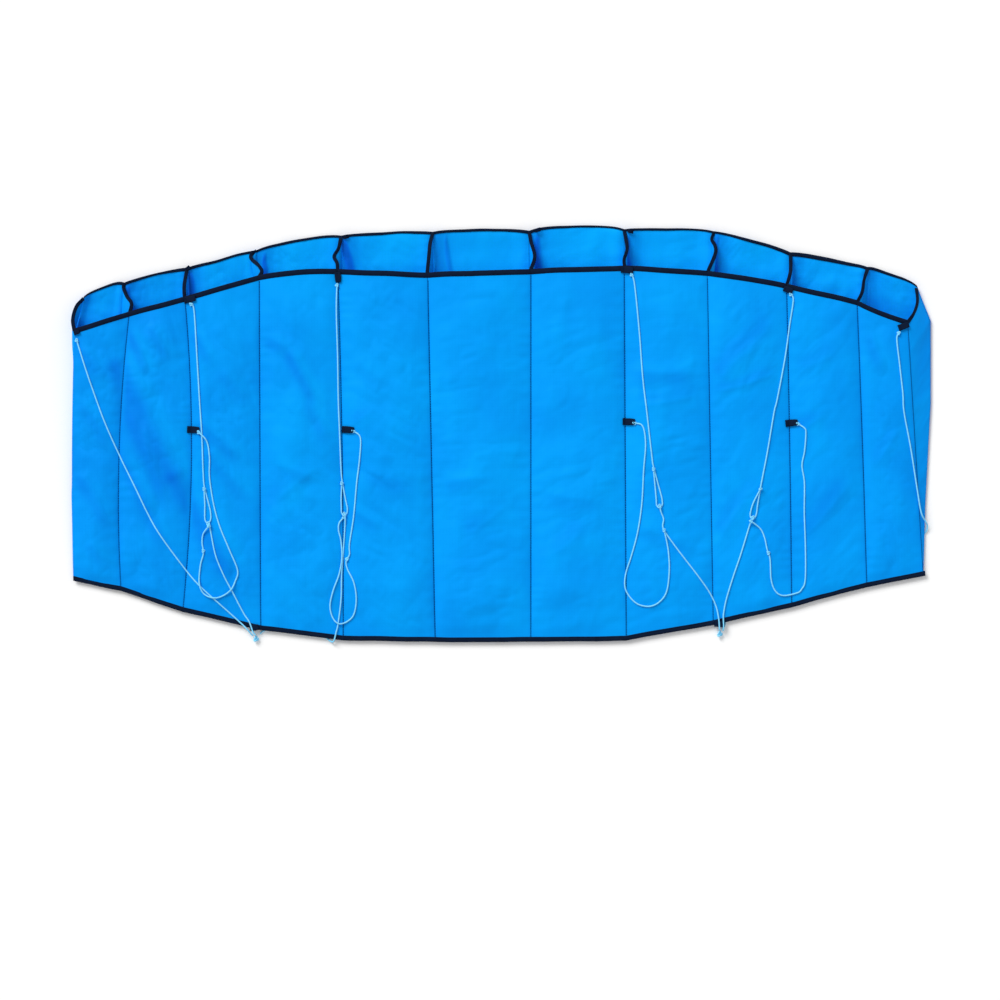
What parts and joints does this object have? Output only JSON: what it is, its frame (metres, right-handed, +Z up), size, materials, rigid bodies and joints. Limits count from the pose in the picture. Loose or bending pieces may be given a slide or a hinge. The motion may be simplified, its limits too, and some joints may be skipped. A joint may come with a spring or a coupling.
{
  "type": "parafoil kite",
  "caption": "Soft ram-air parafoil kite lying bridle side up: open-mouthed cloth cells between ribs, bound edges, tape tabs and a cord bridle with a tow knot at each side.",
  "frame": {"origin": "centre of the cloth's box, on the floor that the upper skin lies on", "axes": "+X along the span, +Y towards the open cell mouths, +Z up, out of the lower (bridle) skin"},
  "size_m": [1.4072, 0.6827, 0.0329],
  "materials": {
    "sky_cloth": "satin ripstop",
    "navy_tape": "matt woven tape",
    "bridle_cord": "matt braid"
  },
  "bodies": {
    "centre": {"lower_skin_centre": "sky_cloth", "upper_skin_centre": "sky_cloth", "mouth_tape_centre": "navy_tape", "tail_tape_centre": "navy_tape", "rib_06": "sky_cloth", "rib_07": "sky_cloth"},
    "inner_left": {"lower_skin_inner_left": "sky_cloth", "upper_skin_inner_left": "sky_cloth", "mouth_tape_inner_left": "navy_tape", "tail_tape_inner_left": "navy_tape", "rib_04": "sky_cloth", "rib_05": "sky_cloth", "tab_nose_5": "navy_tape", "tab_mid_5": "navy_tape", "cord_a_5": "bridle_cord", "cord_b_5": "bridle_cord", "cord_main_5": "bridle_cord"},
    "inner_right": {"lower_skin_inner_right": "sky_cloth", "upper_skin_inner_right": "sky_cloth", "mouth_tape_inner_right": "navy_tape", "tail_tape_inner_right": "navy_tape", "rib_08": "sky_cloth", "rib_09": "sky_cloth", "tab_nose_8": "navy_tape", "tab_mid_8": "navy_tape", "cord_a_8": "bridle_cord", "cord_b_8": "bridle_cord", "cord_main_8": "bridle_cord"},
    "outer_left": {"lower_skin_outer_left": "sky_cloth", "upper_skin_outer_left": "sky_cloth", "mouth_tape_outer_left": "navy_tape", "tail_tape_outer_left": "navy_tape", "rib_01": "sky_cloth", "rib_02": "sky_cloth", "rib_03": "sky_cloth", "tab_nose_1": "navy_tape", "tab_nose_3": "navy_tape", "tab_mid_3": "navy_tape", "tab_tail_4": "navy_tape", "cord_tip_left": "bridle_cord", "cord_a_3": "bridle_cord", "cord_b_3": "bridle_cord", "cord_main_3": "bridle_cord", "tow_knot_left": "bridle_cord"},
    "outer_right": {"lower_skin_outer_right": "sky_cloth", "upper_skin_outer_right": "sky_cloth", "mouth_tape_outer_right": "navy_tape", "tail_tape_outer_right": "navy_tape", "rib_10": "sky_cloth", "rib_11": "sky_cloth", "rib_12": "sky_cloth", "tab_nose_10": "navy_tape", "tab_nose_12": "navy_tape", "tab_mid_10": "navy_tape", "tab_tail_9": "navy_tape", "cord_tip_right": "bridle_cord", "cord_a_10": "bridle_cord", "cord_b_10": "bridle_cord", "cord_main_10": "bridle_cord", "tow_knot_right": "bridle_cord"}
  },
  "joints": [
    {"name": "inner_left_fold", "type": "hinge", "parent": "centre", "child": "inner_left", "pos_m": [-0.11408, -0.03896, 0.0172], "axis": [-0.0199, 0.9992, 0.0351], "range_deg": [0, 45]},
    {"name": "outer_left_fold", "type": "hinge", "parent": "inner_left", "child": "outer_left", "pos_m": [-0.39458, -0.03071, 0.0172], "axis": [-0.0017, 0.9993, 0.0365], "range_deg": [0, 90], "deforming": ["cord_main_5"]},
    {"name": "inner_right_fold", "type": "hinge", "parent": "centre", "child": "inner_right", "pos_m": [0.04892, -0.03546, 0.0172], "axis": [0, -0.9994, -0.0347], "range_deg": [0, 45]},
    {"name": "outer_right_fold", "type": "hinge", "parent": "inner_right", "child": "outer_right", "pos_m": [0.34242, -0.02321, 0.0172], "axis": [0.019, -0.9992, -0.0366], "range_deg": [0, 90], "deforming": ["cord_main_8"]}
  ]
}
